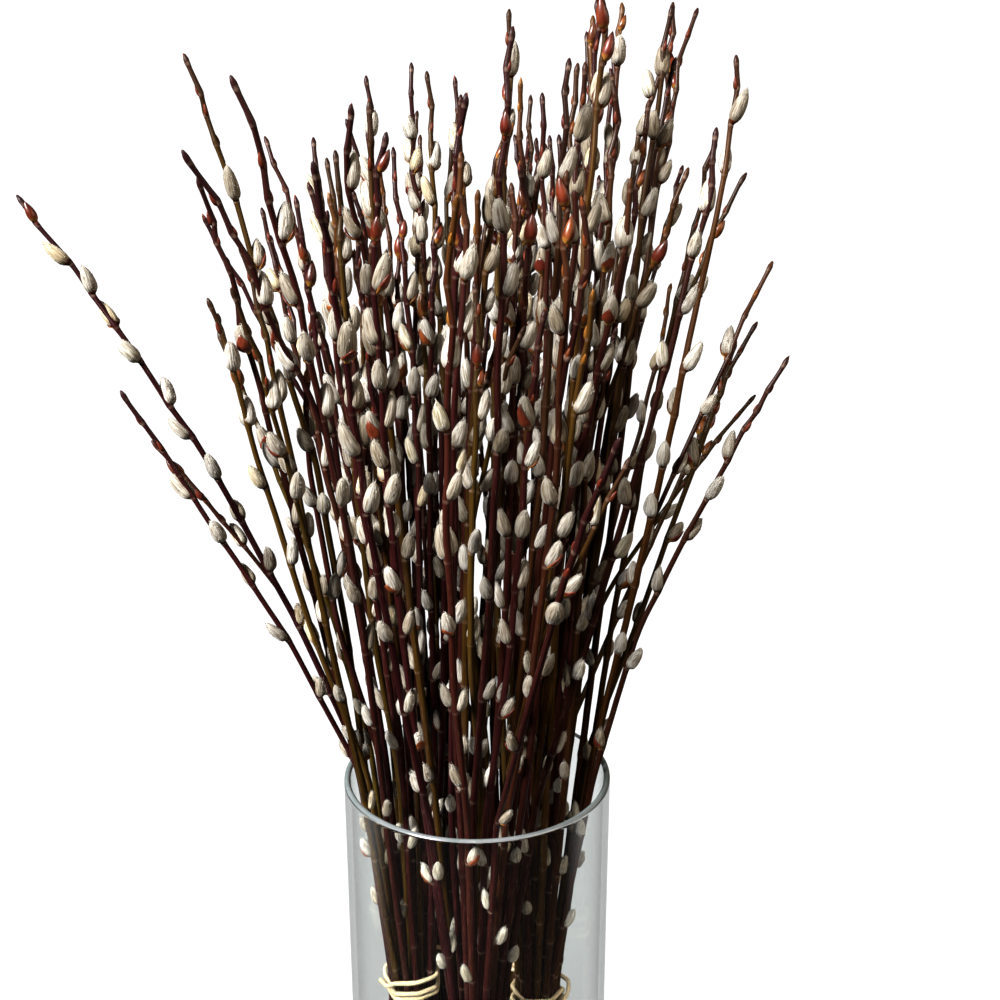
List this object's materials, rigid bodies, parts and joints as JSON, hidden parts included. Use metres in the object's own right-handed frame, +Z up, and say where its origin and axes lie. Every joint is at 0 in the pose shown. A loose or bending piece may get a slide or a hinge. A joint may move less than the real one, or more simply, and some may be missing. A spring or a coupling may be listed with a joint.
{
  "type": "willow branch",
  "caption": "Bound bunches of catkin-bearing pussy willow branches fanning out of a clear glass cylinder vase.",
  "frame": {"origin": "centre of the vase's flat foot, on the surface that it stands on", "axes": "+Z up along the vase; -Y towards the side seen in the picture; +X to its right"},
  "size_m": [0.397, 0.3753, 0.6782],
  "materials": {
    "bark": "smooth, slightly glossy dark red-brown willow bark",
    "catkin": "silky silver-grey catkin hair",
    "bud_scale": "glossy chestnut bud scale",
    "rubber_band": "matt cream natural rubber",
    "vase_glass": "clear, faintly green at the rim"
  },
  "bodies": {
    "root": {"branch_01": "bark", "branch_02": "bark", "branch_03": "bark", "branch_04": "bark", "branch_05": "bark", "branch_06": "bark", "branch_07": "bark", "branch_08": "bark", "branch_09": "bark", "branch_10": "bark", "branch_11": "bark", "branch_12": "bark", "branch_13": "bark", "branch_14": "bark", "branch_15": "bark", "branch_16": "bark", "branch_17": "bark", "branch_18": "bark", "branch_19": "bark", "branch_20": "bark", "branch_21": "bark", "branch_22": "bark", "branch_23": "bark", "branch_24": "bark", "branch_25": "bark", "branch_26": "bark", "branch_27": "bark", "branch_28": "bark", "branch_29": "bark", "branch_30": "bark", "branch_31": "bark", "branch_32": "bark", "branch_33": "bark", "branch_34": "bark", "branch_35": "bark", "branch_36": "bark", "branch_37": "bark", "branch_38": "bark", "branch_39": "bark", "branch_40": "bark", "branch_41": "bark", "branch_42": "bark", "branch_43": "bark", "branch_44": "bark", "branch_45": "bark", "branch_46": "bark", "branch_47": "bark", "branch_48": "bark", "branch_49": "bark", "branch_50": "bark", "branch_51": "bark", "branch_52": "bark", "branch_53": "bark", "branch_54": "bark", "band_front": "rubber_band", "band_left": "rubber_band", "band_rear_left": "rubber_band", "band_rear_right": "rubber_band", "band_right": "rubber_band", "vase": "vase_glass"}
  },
  "joints": []
}
